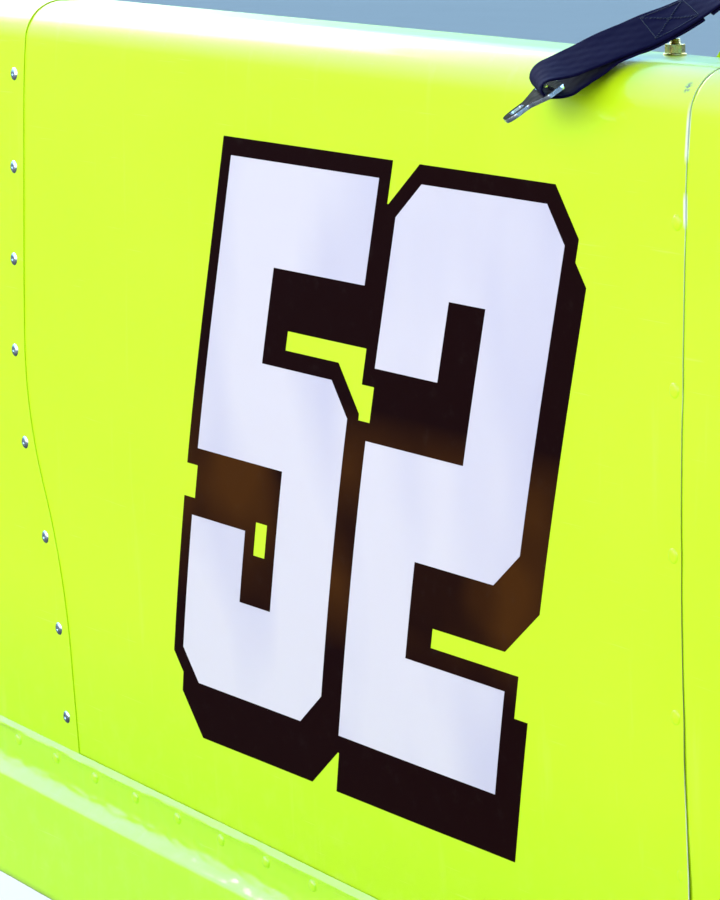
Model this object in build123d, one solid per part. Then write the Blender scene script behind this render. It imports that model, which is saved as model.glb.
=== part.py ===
from build123d import *
from math import atan2, copysign, cos, degrees, hypot, radians, sin, sqrt, tan
import os

# Left door side panel of a stock car: a rolled sheet skin between two joint strips, with a
# moulded rocker skirt below it, on a light frame of dimpled ribs and square rails.
# X runs rearward, Y into the car, Z up, in millimetres. The origin is the middle of the four
# chassis bolts, in the face of the feet. Sections are drawn as (depth, height): depth counts
# inward from the outermost plane of the skin.
SKIN_DEPTH = 200.0

# Sheet
SKIN_T = 1.2
STRIP_T = 1.0
LAP_GAP = 0.2
BOND = 0.3

# Side profile of the skin, from its bottom edge up and over the sill
SKIN_BOTTOM_Z = -420.0
FLAT_H = 170.0
TUCK_R = 4200.0
TUCK_H = 340.0
DOOR_H = 139.0
LEAN_R = 800.0
LEAN_H = 62.0
ROLL_R = 35.0
SILL_DEPTH = 86.0
SILL_BEND_R = 6.0
SILL_FLANGE_H = 18.0

# Seams along the car
FRONT_SEAM_X = -466.0
REAR_SEAM_X = 471.0
FRONT_STRIP_REACH = 116.0
REAR_STRIP_REACH = 49.0
LAP = 32.0
REAR_SEAM_GAP = 1.5
SEAM_BOW = 7.0
SEAM_BOW_RISE = 433.0
SEAM_BOW_H = 240.0
SEAM_SWEEP_R = 330.0
SEAM_SWEEP_DEG = 22.0
SEAM_RETURN_R = 400.0

# Rocker skirt, which drops a little towards the rear
SKIRT_T = 3.0
SKIRT_LAP = 52.5
SKIRT_DROOP_DEG = 1.83
SKIRT_FLANGE_H = 30.0
SKIRT_COVE_R = 12.0
SKIRT_LEDGE = 9.0
SKIRT_LEDGE_DEG = 38.0
SKIRT_NOSE_R = 4.5
SKIRT_FACE_H = 87.0
SKIRT_CURL_R = 14.0
SKIRT_CURL_DEG = 80.0
SKIRT_LIP = 8.0
SKIRT_EDGE = 2.0
SKIRT_EDGE_H = 7.0
SKIRT_TOP_GAP = 1.2

# Frame behind the skin
RAIL = 19.0
RAIL_WALL = 1.5
RAIL_CORNER_R = 2.5
RAIL_OVERHANG = 16.0
BOTTOM_RAIL_RISE = 65.0
RIB_T = 2.0
RIB_COUNT = 4
RIB_TO_SEAM = 46.0
RIB_TO_STRIP = 19.0
RIB_RISE = 38.0
RIB_OUTER_FLANGE = 16.0
RIB_INNER_FLANGE = 14.0
HOLE_R = 15.0
HOLE_FLARE = 4.0
HOLE_PITCH = 160.0
HOLE_COUNT = 4
HOLE_FIRST_RISE = 146.0

# Chassis feet
BOLT_SPACING_X = 700.0
BOLT_SPACING_Z = 380.0
BOLT_HOLE_R = 4.2
BRACKET_T = 4.0
BRACKET_W = 40.0
BRACKET_BEND_R = 6.0
BRACKET_CORNER = 9.0
FOOT_EDGE = 16.0
LEG_TO_BOLT = 32.0

# Skirt stays
STAY_T = 3.0
STAY_W = 20.0
STAY_COUNT = 3
STAY_SPAN = 640.0
STAY_TOP = 30.0
STAY_BEND_R = 8.0
STAY_PAD = 24.0
STAY_DEG = 45.0

# Window post base
POST_T = 1.2
POST_FRONT_X = 372.0
POST_FOOT_H = 16.0
POST_RISE_X = 390.0
POST_WAIST_X = 433.0
POST_WAIST_RISE = 42.0
POST_TOP_X = 440.0
POST_TOP_RISE = 83.0
POST_CORNER_R = 24.0

# Sill bolt
BOLT_X = 368.0
BOLT_R = 4.0
BOLT_CLEARANCE = 0.2
THREAD_CLEARANCE = 0.05
HEX_AF = 13.0
HEAD_H = 5.3
NUT_H = 6.5
WASHER_R = 8.5
WASHER_T = 1.5
BOLT_STUB = 4.0

# Harness strap, its tongue and its anchor. The strap runs in an upright plane, from the
# tongue's bar outside the sill to the anchor's bar inside it.
STRAP_W = 50.0
STRAP_T = 2.4
STRAP_RUN_DEG = 27.4
TONGUE_BAR_X = 341.0
TONGUE_BAR_OUT = 16.0
TONGUE_BAR_DROP = 19.0
ANCHOR_BAR_DEPTH = 104.0
ANCHOR_BAR_RISE = 48.0
STRAP_CREST_RUN = 28.0
STRAP_BEND_R = 60.0
STRAP_SEW_RUN = 104.0
BAR_RUN_CLEARANCE = 0.45

TONGUE_T = 3.0
TONGUE_BAR_W = 6.0
TONGUE_SLOT = 8.0
TONGUE_SIDE = 5.0
SLOT_SIDE_CLEARANCE = 1.0
TONGUE_LENGTH = 43.0
TONGUE_TIP_W = 26.0
TONGUE_SHOULDER = 13.0
TONGUE_DROOP_DEG = 36.0
LATCH_SLOT_L = 11.0
LATCH_SLOT_W = 12.0
LATCH_SLOT_EDGE = 6.0
LATCH_CORNER_R = 3.0
TONGUE_ROUND_R = 3.0
TONGUE_TIP_R = 9.0
SLOT_CORNER_R = 2.0

ANCHOR_T = 3.0
ANCHOR_BAR_H = 8.0
ANCHOR_SLOT = 8.0
ANCHOR_TOP = 14.0
ANCHOR_BEND_R = 8.0
ANCHOR_FOOT = 33.0

# Worked out from the values above. BEYOND is longer than the whole part, for cuts.
BEYOND = 2000.0
RAIL_OUTER_DEPTH = SILL_DEPTH - SILL_BEND_R - RAIL
RAIL_DEPTH = RAIL_OUTER_DEPTH + RAIL / 2
RAIL_INNER_DEPTH = RAIL_OUTER_DEPTH + RAIL
LEAN_DEG = degrees(LEAN_H / LEAN_R)
TUCK_DEG = degrees(atan2(TUCK_H, TUCK_R))
QUARTER_TURN = 90.0
FRONT_END_X = FRONT_SEAM_X - FRONT_STRIP_REACH
REAR_END_X = REAR_SEAM_X + REAR_STRIP_REACH
BOTTOM_RAIL_Z = SKIN_BOTTOM_Z + BOTTOM_RAIL_RISE
RIB_BOTTOM_Z = SKIN_BOTTOM_Z + RIB_RISE
FRAME_RAIL_Z = BOLT_SPACING_Z / 2 + LEG_TO_BOLT
FRONT_RIB_X = FRONT_SEAM_X + RIB_TO_SEAM
REAR_RIB_X = REAR_SEAM_X - LAP - RIB_TO_STRIP


def ahead(angle):
    """Direction of a heading that is counted clockwise from the second axis."""
    return Vector(sin(angle), cos(angle))


def right(angle):
    return Vector(cos(angle), -sin(angle))


def chain(start, heading, segments, offset=0.0):
    """Edges of an outline of lines and tangent arcs, moved sideways to the right by offset.

    A segment is (length,) for a line or (radius, turn) for an arc, clockwise turns positive.
    """
    angle = radians(heading)
    point = Vector(*start) + right(angle) * offset
    edges = []
    for segment in segments:
        if len(segment) == 1:
            end = point + ahead(angle) * segment[0]
            edges.append(Line(point, end))
        else:
            turn = radians(segment[1])
            arm = copysign(segment[0], turn) - offset
            centre = point + right(angle) * arm
            middle = centre - right(angle + turn / 2) * arm
            end = centre - right(angle + turn) * arm
            edges.append(ThreePointArc(point, middle, end))
            angle += turn
        point = end
    return edges


def sheet_face(start, heading, segments, near, far):
    """Section of a bent sheet between two offsets of one outline."""
    one = chain(start, heading, segments, near)
    other = chain(start, heading, segments, far)
    ends = [Line(one[0] @ 0, other[0] @ 0), Line(one[-1] @ 1, other[-1] @ 1)]
    return Face(Wire([edge.edge() for edge in one + other + ends]))


def section_plane(x, depth=0.0, z=0.0):
    """Plane across the car at x, whose local axes are depth and height."""
    return Plane(origin=(x, depth - SKIN_DEPTH, z), x_dir=(0, 1, 0), z_dir=(1, 0, 0))


def along_car(face, x_from, x_to):
    return extrude(section_plane(x_from) * face, x_to - x_from, dir=(1, 0, 0))


# Skin profile
def skin_segments():
    """Profile of the skin from its bottom edge, without the sill's inner bend and flange."""
    flat = (FLAT_H / cos(radians(TUCK_DEG)),)
    tuck = (TUCK_R, TUCK_DEG)
    lean = (LEAN_R, LEAN_DEG)
    roll = (ROLL_R, QUARTER_TURN - LEAN_DEG)
    upright = [flat, tuck, (DOOR_H,), lean, roll]
    roll_end = chain(skin_start(), -TUCK_DEG, upright)[-1] @ 1
    sill = (SILL_DEPTH - SILL_BEND_R - roll_end.X,)
    return upright + [sill]


def skin_start():
    """Bottom edge of the skin, set so that the upright stretch lies at depth 0."""
    tuck = radians(TUCK_DEG)
    depth = TUCK_R * (1 - cos(tuck)) + FLAT_H * tan(tuck)
    return (depth, SKIN_BOTTOM_Z)


def crest_z():
    return (chain(skin_start(), -TUCK_DEG, skin_segments())[-1] @ 1).Y


def skin_sheet(outer, inner):
    """Section of a sheet on the skin's profile, from outer to inner under its surface."""
    rim = [(SILL_BEND_R, QUARTER_TURN), (SILL_FLANGE_H,)]
    return sheet_face(skin_start(), -TUCK_DEG, skin_segments() + rim, outer, inner)


def skin_depth_at(z):
    """Depth of the skin's outer surface on the flat below the tuck."""
    depth, bottom = skin_start()
    return depth - (z - bottom) * tan(radians(TUCK_DEG))


def door_skin():
    skin = along_car(skin_sheet(0, SKIN_T), FRONT_SEAM_X - LAP, REAR_SEAM_X)
    hole = Cylinder(BOLT_R + BOLT_CLEARANCE, RAIL)
    return skin - Pos(BOLT_X, RAIL_DEPTH - SKIN_DEPTH, crest_z()) * hole


def front_joint_strip():
    """Strip that laps over the skin's front edge. Its own edge bows and sweeps rearward."""
    face = skin_sheet(-LAP_GAP - STRIP_T, -LAP_GAP)
    reach = FRONT_SEAM_X + SEAM_SWEEP_R
    strip = along_car(face, FRONT_END_X, reach)
    top = crest_z() + 2 * STRIP_T + LAP_GAP
    bow_z = SKIN_BOTTOM_Z + SEAM_BOW_RISE
    bow_top = Vector(FRONT_SEAM_X, bow_z + SEAM_BOW_H)
    bow_low = Vector(FRONT_SEAM_X - SEAM_BOW, bow_z)
    seam = chain(
        bow_low,
        180,
        [(SEAM_SWEEP_R, -SEAM_SWEEP_DEG), (SEAM_RETURN_R, SEAM_SWEEP_DEG)],
    )
    foot_x = (seam[-1] @ 1).X
    foot = Vector(foot_x, skirt_top_z(foot_x) + SKIRT_TOP_GAP)
    corner = Vector(FRONT_END_X, skirt_top_z(FRONT_END_X) + SKIRT_TOP_GAP)
    outline = [
        Line((FRONT_END_X, top), (FRONT_SEAM_X, top)),
        Line((FRONT_SEAM_X, top), bow_top),
        Line(bow_top, bow_low),
        *seam,
        Line(seam[-1] @ 1, foot),
        Line(foot, corner),
        Line(corner, (FRONT_END_X, top)),
    ]
    face = Face(Wire([edge.edge() for edge in outline]))
    upright = Plane(origin=(0, 0, 0), x_dir=(1, 0, 0), z_dir=(0, -1, 0))
    return strip & extrude(upright * face, 2 * SKIN_DEPTH, dir=(0, -1, 0))


def rear_joint_strip():
    """Joggled strip: it lies under the skin's rear edge and steps out flush behind the seam."""
    under = SKIN_T + LAP_GAP
    step_x = REAR_SEAM_X + REAR_SEAM_GAP
    strip = along_car(skin_sheet(under, under + STRIP_T), REAR_SEAM_X - LAP, step_x)
    strip += along_car(skin_sheet(0, under + STRIP_T), step_x, step_x + STRIP_T)
    return strip + along_car(skin_sheet(0, STRIP_T), step_x + STRIP_T, REAR_END_X)


def window_post_base():
    """Foot of the rear window post: it rises from the sill's inner flange with a round corner."""
    foot_top = crest_z() - SILL_BEND_R
    rise = (POST_RISE_X, foot_top)
    waist = (POST_WAIST_X, crest_z() + POST_WAIST_RISE)
    top_z = crest_z() + POST_TOP_RISE
    outline = Polyline(
        (POST_FRONT_X, foot_top - POST_FOOT_H),
        (REAR_END_X, foot_top - POST_FOOT_H),
        (REAR_END_X, top_z),
        (POST_TOP_X, top_z),
        waist,
        rise,
        (POST_FRONT_X, foot_top),
        close=True,
    )
    face = make_face(outline)
    vertices = [face.vertices().sort_by_distance(corner)[0] for corner in (rise, waist)]
    face = fillet(vertices, POST_CORNER_R)
    plane = Plane(
        origin=(0, SILL_DEPTH + POST_T - SKIN_DEPTH, 0), x_dir=(1, 0, 0), z_dir=(0, -1, 0)
    )
    return extrude(plane * face, POST_T, dir=(0, -1, 0))


# Rocker skirt
def skirt_top_z(x):
    return SKIN_BOTTOM_Z + SKIRT_LAP - x * tan(radians(SKIRT_DROOP_DEG))


def skirt_start(x):
    """Top edge of the skirt's inner face at x, which lies on the skin's flat."""
    z = skirt_top_z(x)
    return Vector(skin_depth_at(z) - LAP_GAP, z)


def skirt_segments():
    """Profile of the skirt's inner face, drawn downward."""
    return [
        (SKIRT_FLANGE_H,),
        (SKIRT_COVE_R + SKIRT_T, QUARTER_TURN - SKIRT_LEDGE_DEG + TUCK_DEG),
        (SKIRT_LEDGE,),
        (SKIRT_NOSE_R - SKIRT_T, SKIRT_LEDGE_DEG - QUARTER_TURN),
        (SKIRT_FACE_H,),
        (SKIRT_CURL_R - SKIRT_T, -SKIRT_CURL_DEG),
        (SKIRT_LIP,),
    ]


def rocker_skirt():
    """Moulding of one section, drawn along its own slope, with a tapered top edge."""
    front = skirt_start(FRONT_END_X)
    rear = skirt_start(REAR_END_X)
    heading = 180 - TUCK_DEG
    face = sheet_face((front.X, front.Y), heading, skirt_segments(), 0, SKIRT_T)
    outward = right(radians(heading))
    corner = front + outward * SKIRT_T
    lip = corner + ahead(radians(heading)) * SKIRT_EDGE_H
    face -= make_face(Polyline(corner, corner - outward * SKIRT_EDGE, lip, close=True))
    slope = Vector(REAR_END_X - FRONT_END_X, rear.X - front.X, rear.Y - front.Y)
    return extrude(section_plane(FRONT_END_X) * face, slope.length, dir=slope)


def skirt_face_depth(x):
    """Depth of the skirt's inner face on its lower upright stretch."""
    start = skirt_start(x)
    return (chain((start.X, start.Y), 180 - TUCK_DEG, skirt_segments()[:5])[-1] @ 1).X


# Frame behind the skin
def rail(z):
    """Square tube along the car behind the ribs, with its middle at height z."""
    outer = RectangleRounded(RAIL, RAIL, RAIL_CORNER_R)
    inner = Rectangle(RAIL - 2 * RAIL_WALL, RAIL - 2 * RAIL_WALL)
    start = FRONT_RIB_X - RAIL_OVERHANG
    face = section_plane(start, RAIL_DEPTH, z) * (outer - inner)
    return extrude(face, REAR_RIB_X + RAIL_OVERHANG - start, dir=(1, 0, 0))


def sill_rail_z():
    return crest_z() - SKIN_T - BOND - RAIL / 2


def sill_rail():
    hole = Cylinder(BOLT_R + BOLT_CLEARANCE, 2 * RAIL)
    return rail(sill_rail_z()) - Pos(BOLT_X, RAIL_DEPTH - SKIN_DEPTH, sill_rail_z()) * hole


def inner_region(offset):
    """Area behind the skin, in from the given offset and as deep as the rails' outer face."""
    edges = chain(skin_start(), -TUCK_DEG, skin_segments(), offset)
    top = edges[-1] @ 1
    bottom = edges[0] @ 0
    corner = Vector(top.X, bottom.Y)
    edges += [Line(top, corner), Line(corner, bottom)]
    region = Face(Wire([edge.edge() for edge in edges]))
    height = top.Y - RIB_BOTTOM_Z
    limit = Pos(0, RIB_BOTTOM_Z) * Rectangle(
        RAIL_OUTER_DEPTH, height, align=(Align.MIN, Align.MIN)
    )
    return region & limit


def rib(x, side):
    """Pressed rib: a web on the skin's profile, a flange at each edge and flared holes.

    side is 1 where the flanges turn rearward and -1 where they turn forward.
    """
    seat = SKIN_T + BOND
    web = inner_region(seat)
    outer_flange = inner_region(seat) - inner_region(seat + RIB_T)
    edge = Rectangle(RIB_T, BEYOND, align=(Align.MIN, Align.CENTER))
    inner_flange = web & Pos(RAIL_OUTER_DEPTH - RIB_T, 0) * edge
    body = along_car(web, 0, RIB_T)
    body += along_car(outer_flange, 0, RIB_OUTER_FLANGE)
    body += along_car(inner_flange, 0, RIB_INNER_FLANGE)
    for index in range(HOLE_COUNT):
        z = SKIN_BOTTOM_Z + HOLE_FIRST_RISE + index * HOLE_PITCH
        depth = (SKIN_T + BOND + RAIL_OUTER_DEPTH + max(0, skin_depth_at(z))) / 2
        place = section_plane(0, depth, z)
        lip = Cone(
            HOLE_R + HOLE_FLARE + RIB_T,
            HOLE_R + RIB_T,
            HOLE_FLARE,
            align=(Align.CENTER, Align.CENTER, Align.MIN),
        )
        cut = Cone(
            HOLE_R + HOLE_FLARE + RIB_T,
            HOLE_R,
            HOLE_FLARE + RIB_T,
            align=(Align.CENTER, Align.CENTER, Align.MIN),
        )
        body += place * Pos(0, 0, RIB_T) * lip
        body -= place * cut
    if side < 0:
        body = mirror(body, Plane.YZ)
    return Pos(x, 0, 0) * body


def standoff(x, side):
    """Folded bracket: a leg from a rail to the chassis, and a bolted foot towards the middle.

    side is 1 for the upper pair and -1 for the lower pair.
    """
    outer_r = BRACKET_BEND_R + BRACKET_T
    start = (RAIL_INNER_DEPTH, FRAME_RAIL_Z + BRACKET_T / 2)
    leg = SKIN_DEPTH - RAIL_INNER_DEPTH - outer_r
    foot_end = BOLT_SPACING_Z / 2 - FOOT_EDGE
    segments = [(leg,), (outer_r, QUARTER_TURN), (start[1] - outer_r - foot_end,)]
    face = sheet_face(start, QUARTER_TURN, segments, 0, BRACKET_T)
    bracket = along_car(face, x - BRACKET_W / 2, x + BRACKET_W / 2)
    corners = bracket.edges().filter_by(Axis.Y).group_by(Axis.Z)[0]
    bracket = chamfer(corners, BRACKET_CORNER)
    bore = Rot(90, 0, 0) * Cylinder(BOLT_HOLE_R, 4 * BRACKET_T)
    bracket -= Pos(x, 0, BOLT_SPACING_Z / 2) * bore
    if side < 0:
        bracket = mirror(bracket, Plane.XY)
    return bracket


def skirt_stay(x):
    """Bent flat bar from the bottom rail's inner face down and out to the skirt."""
    seat = skirt_face_depth(x) + BOND
    start = (RAIL_INNER_DEPTH, BOTTOM_RAIL_Z + RAIL / 2)
    bends = 2 * STAY_BEND_R * (1 - cos(radians(STAY_DEG)))
    leg = (RAIL_INNER_DEPTH - seat - bends) / sin(radians(STAY_DEG))
    segments = [
        (STAY_TOP,),
        (STAY_BEND_R, STAY_DEG),
        (leg,),
        (STAY_BEND_R, -STAY_DEG),
        (STAY_PAD,),
    ]
    face = sheet_face(start, 180, segments, -STAY_T, 0)
    return along_car(face, x - STAY_W / 2, x + STAY_W / 2)


# Sill bolt
def hexagon(height):
    return extrude(RegularPolygon(HEX_AF / 2, 6, major_radius=False), height, dir=(0, 0, 1))


def sill_bolt():
    head_z = sill_rail_z() - RAIL / 2
    top = crest_z() + WASHER_T + NUT_H + BOLT_STUB
    shank = Cylinder(BOLT_R, top - head_z, align=(Align.CENTER, Align.CENTER, Align.MIN))
    bolt = shank + Pos(0, 0, -HEAD_H) * hexagon(HEAD_H)
    return Pos(BOLT_X, RAIL_DEPTH - SKIN_DEPTH, head_z) * bolt


def sill_nut():
    washer = Cylinder(WASHER_R, WASHER_T, align=(Align.CENTER, Align.CENTER, Align.MIN))
    nut = washer + Pos(0, 0, WASHER_T) * hexagon(NUT_H)
    nut -= Cylinder(BOLT_R + THREAD_CLEARANCE, 4 * NUT_H)
    return Pos(BOLT_X, RAIL_DEPTH - SKIN_DEPTH, crest_z()) * nut


# Strap, tongue and anchor
def strap_plane():
    """Upright plane of the strap: local x is its run inward, local y is height."""
    run = radians(STRAP_RUN_DEG)
    return Plane(
        origin=(TONGUE_BAR_X, -TONGUE_BAR_OUT - SKIN_DEPTH, crest_z() - TONGUE_BAR_DROP),
        x_dir=(sin(run), cos(run), 0),
        z_dir=(cos(run), -sin(run), 0),
    )


def anchor_run():
    """Where the anchor's bar crosses the strap's plane."""
    depth = ANCHOR_BAR_DEPTH + TONGUE_BAR_OUT
    return Vector(depth / cos(radians(STRAP_RUN_DEG)), ANCHOR_BAR_RISE + TONGUE_BAR_DROP)


def bar_loop_r(thickness, width):
    """Inner radius of the webbing's loop round a flat bar that turns in it."""
    return hypot(thickness, width) / 2 + BAR_RUN_CLEARANCE


def tangent_heading(point, centre, radius, side):
    """Heading from point to the tangent on a circle; side 1 passes it on the right."""
    away = centre - point
    return atan2(away.X, away.Y) - side * atan2(
        radius, sqrt(away.X**2 + away.Y**2 - radius**2)
    )


def strand(corner, begin, begin_r, finish, finish_r, side):
    """Webbing over a round corner, tangent at each end to a circle round a bar."""
    to_begin = tangent_heading(corner, begin, begin_r, -side)
    to_finish = tangent_heading(corner, finish, finish_r, side)
    turn = to_finish - to_begin - radians(180)
    turn = atan2(sin(turn), cos(turn))
    trim = STRAP_BEND_R * tan(abs(turn) / 2)
    first = sqrt((begin - corner).length ** 2 - begin_r**2)
    second = sqrt((finish - corner).length ** 2 - finish_r**2)
    start = corner + ahead(to_begin) * first
    segments = [(first - trim,), (STRAP_BEND_R, degrees(turn)), (second - trim,)]
    return sheet_face(
        (start.X, start.Y), degrees(to_begin) + 180, segments, -STRAP_T / 2, STRAP_T / 2
    )


def sill_touch():
    """Height over the tongue's bar at which webbing lies on the sill under its far edge."""
    return TONGUE_BAR_DROP + BOND + STRAP_T / 2


def harness_strap():
    bar = Vector(0, 0)
    anchor = anchor_run()
    inner_r = bar_loop_r(TONGUE_T, TONGUE_BAR_W)
    anchor_r = bar_loop_r(ANCHOR_T, ANCHOR_BAR_H)
    half = STRAP_T / 2
    lower_crest = Vector(STRAP_CREST_RUN, sill_touch())
    upper_crest = lower_crest + Vector(0, STRAP_T + LAP_GAP)
    sewn = bar + (anchor - bar) * (STRAP_SEW_RUN / anchor.X)
    upper = strand(upper_crest, bar, inner_r + half, anchor, anchor_r + half, 1)
    lower = strand(lower_crest, bar, inner_r + half, anchor, 0.0, -1)
    lower &= Rectangle(2 * STRAP_SEW_RUN, BEYOND)
    loops = Circle(inner_r + STRAP_T) + Pos(anchor.X, anchor.Y) * Circle(anchor_r + STRAP_T)
    face = upper + lower + loops
    face -= Circle(inner_r) + Pos(anchor.X, anchor.Y) * Circle(anchor_r)
    return extrude(strap_plane() * face, STRAP_W / 2, both=True)


def tongue_plane():
    """Plane of the tongue: local x runs from its bar to its tip, local y across the strap."""
    base = strap_plane()
    droop = radians(TONGUE_DROOP_DEG)
    tip = base.x_dir * -cos(droop) + base.y_dir * -sin(droop)
    return Plane(origin=base.origin, x_dir=tip, z_dir=tip.cross(base.z_dir))


def strap_tongue():
    slot_w = STRAP_W + 2 * SLOT_SIDE_CLEARANCE
    width = slot_w + 2 * TONGUE_SIDE
    bar = TONGUE_BAR_W / 2
    shoulder = bar + TONGUE_SLOT + TONGUE_SHOULDER
    outline = Polyline(
        (-bar, -width / 2),
        (bar + TONGUE_SLOT, -width / 2),
        (shoulder, -TONGUE_TIP_W / 2),
        (TONGUE_LENGTH, -TONGUE_TIP_W / 2),
        (TONGUE_LENGTH, TONGUE_TIP_W / 2),
        (shoulder, TONGUE_TIP_W / 2),
        (bar + TONGUE_SLOT, width / 2),
        (-bar, width / 2),
        close=True,
    )
    plate = make_face(outline)
    shoulders = plate.vertices().filter_by(lambda corner: corner.X < TONGUE_LENGTH - TONGUE_T)
    plate = fillet(shoulders, TONGUE_ROUND_R)
    plate = fillet(plate.vertices().group_by(Axis.X)[-1], TONGUE_TIP_R)
    web_slot = Pos(bar + TONGUE_SLOT / 2, 0) * RectangleRounded(TONGUE_SLOT, slot_w, SLOT_CORNER_R)
    latch_x = TONGUE_LENGTH - LATCH_SLOT_EDGE - LATCH_SLOT_L / 2
    latch = Pos(latch_x, 0) * RectangleRounded(LATCH_SLOT_L, LATCH_SLOT_W, LATCH_CORNER_R)
    face = plate - web_slot - latch
    return extrude(tongue_plane() * face, TONGUE_T / 2, both=True)


def strap_anchor():
    """Bent plate on the window post base, whose lower bar carries the strap's inner loop."""
    run = radians(STRAP_RUN_DEG)
    slot_w = STRAP_W + 2 * SLOT_SIDE_CLEARANCE
    half_w = slot_w / 2 + TONGUE_SIDE
    across = Vector(cos(run), -sin(run))
    bar_x = TONGUE_BAR_X + (ANCHOR_BAR_DEPTH + TONGUE_BAR_OUT) * tan(run)
    bar = Vector(bar_x, ANCHOR_BAR_DEPTH)
    start = bar - across * half_w
    foot_depth = SILL_DEPTH + POST_T + ANCHOR_T / 2
    wing = (start.Y - foot_depth - ANCHOR_BEND_R * (1 - cos(run))) / sin(run)
    segments = [(wing,), (ANCHOR_BEND_R, -STRAP_RUN_DEG), (ANCHOR_FOOT,)]
    face = sheet_face(
        (start.X, start.Y),
        QUARTER_TURN + STRAP_RUN_DEG,
        segments,
        -ANCHOR_T / 2,
        ANCHOR_T / 2,
    )
    low = crest_z() + ANCHOR_BAR_RISE - ANCHOR_BAR_H / 2
    height = ANCHOR_BAR_H + ANCHOR_SLOT + ANCHOR_TOP
    plate = extrude(Pos(0, -SKIN_DEPTH, low) * face, height, dir=(0, 0, 1))
    slot = Box(slot_w, 8 * ANCHOR_T, ANCHOR_SLOT)
    slot_z = low + ANCHOR_BAR_H + ANCHOR_SLOT / 2
    return plate - Pos(bar.X, bar.Y - SKIN_DEPTH, slot_z) * Rot(0, 0, -STRAP_RUN_DEG) * slot


def evenly(count, start, end):
    return [start + (end - start) * index / (count - 1) for index in range(count)]


def build():
    parts = {
        "door_skin": door_skin(),
        "front_joint_strip": front_joint_strip(),
        "rear_joint_strip": rear_joint_strip(),
        "window_post_base": window_post_base(),
        "rocker_skirt": rocker_skirt(),
        "sill_rail": sill_rail(),
        "upper_rail": rail(FRAME_RAIL_Z),
        "lower_rail": rail(-FRAME_RAIL_Z),
        "bottom_rail": rail(BOTTOM_RAIL_Z),
        "sill_bolt": sill_bolt(),
        "sill_nut": sill_nut(),
        "harness_strap": harness_strap(),
        "strap_tongue": strap_tongue(),
        "strap_anchor": strap_anchor(),
    }
    for index, x in enumerate(evenly(RIB_COUNT, FRONT_RIB_X, REAR_RIB_X)):
        parts[f"rib_{index + 1}"] = rib(x, 1 if x < 0 else -1)
    corners = [(x, side) for side in (1, -1) for x in (-BOLT_SPACING_X / 2, BOLT_SPACING_X / 2)]
    for index, (x, side) in enumerate(corners):
        parts[f"standoff_{index + 1}"] = standoff(x, side)
    for index, x in enumerate(evenly(STAY_COUNT, -STAY_SPAN / 2, STAY_SPAN / 2)):
        parts[f"skirt_stay_{index + 1}"] = skirt_stay(x)
    return parts


os.makedirs("parts", exist_ok=True)
for name, shape in build().items():
    export_step(shape, f"parts/{name}.step")
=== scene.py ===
from math import atan2, copysign, cos, degrees, exp, pi, radians, sin, sqrt, tan

import bmesh
import bpy
from mathutils import Matrix, Vector, noise
from mathutils.geometry import delaunay_2d_cdt


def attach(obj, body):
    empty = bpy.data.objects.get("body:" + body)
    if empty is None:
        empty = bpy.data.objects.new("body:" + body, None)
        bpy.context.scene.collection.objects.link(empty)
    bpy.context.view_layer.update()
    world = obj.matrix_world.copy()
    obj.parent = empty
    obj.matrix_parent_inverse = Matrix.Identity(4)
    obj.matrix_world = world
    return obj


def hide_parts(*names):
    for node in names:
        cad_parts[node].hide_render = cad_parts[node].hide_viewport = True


# Looks of the left door side panel of a stock car. Lengths are in millimetres in the panel's
# frame, X rearward, Y into the car, Z up, until a mesh is made, which is in metres. Sections
# are (depth, height), and depth counts inward from the outermost plane of the skin.
MM = 0.001
SKIN_DEPTH = 200.0

# Sheet and side profile, as in the solids
SKIN_T = 1.2
STRIP_T = 1.0
LAP_GAP = 0.2
QUARTER_TURN = 90.0
SKIN_BOTTOM_Z = -420.0
FLAT_H = 170.0
TUCK_R = 4200.0
TUCK_H = 340.0
DOOR_H = 139.0
LEAN_R = 800.0
LEAN_H = 62.0
ROLL_R = 35.0
SILL_DEPTH = 86.0
SILL_BEND_R = 6.0
SILL_FLANGE_H = 18.0
TUCK_DEG = degrees(atan2(TUCK_H, TUCK_R))
LEAN_DEG = degrees(LEAN_H / LEAN_R)

# Places of pieces in the skin's profile, and the mesh's spacing along each of its pieces
TUCK_PIECE = 1
SILL_PIECE = 5
SILL_BEND_PIECE = 6
SKIN_STEPS = [7.0, 7.0, 7.0, 6.0, 2.8, 5.0, 1.5, 6.0]

# Seams
FRONT_SEAM_X = -466.0
REAR_SEAM_X = 471.0
LAP = 32.0
FRONT_END_X = FRONT_SEAM_X - 116.0
REAR_END_X = REAR_SEAM_X + 49.0
REAR_SEAM_GAP = 1.5
SEAM_BOW = 7.0
SEAM_BOW_Z = SKIN_BOTTOM_Z + 433.0
SEAM_BOW_H = 240.0
SEAM_SWEEP_R = 330.0
SEAM_SWEEP_DEG = 22.0
SEAM_RETURN_R = 400.0

# Mesh columns of the skin and its strips: wide ones, and finer ones towards a seam
SKIN_COLUMN_W = 7.0
SKIN_FINE_W = 2.2
SKIN_FINE_X = 440.0
FRONT_COLUMNS = 13
FRONT_FINE_BACK = 10.0
FRONT_FINE_W = 2.0
REAR_COLUMN_W = 4.0
# The front strip's rows up to this arc length follow the skirt's slope
FRONT_FOOT_U = 91.0
FRONT_FOOT_ROWS = [0.0, 0.1, 0.4, 0.7]
FRONT_FOOT_GAP = 0.15

# Rounding of the sheets' edges and of the plain solids'
SKIN_EDGE_R = 0.35
SHEET_EDGE_R = 0.3
SOLID_EDGE_R = 0.4

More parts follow.
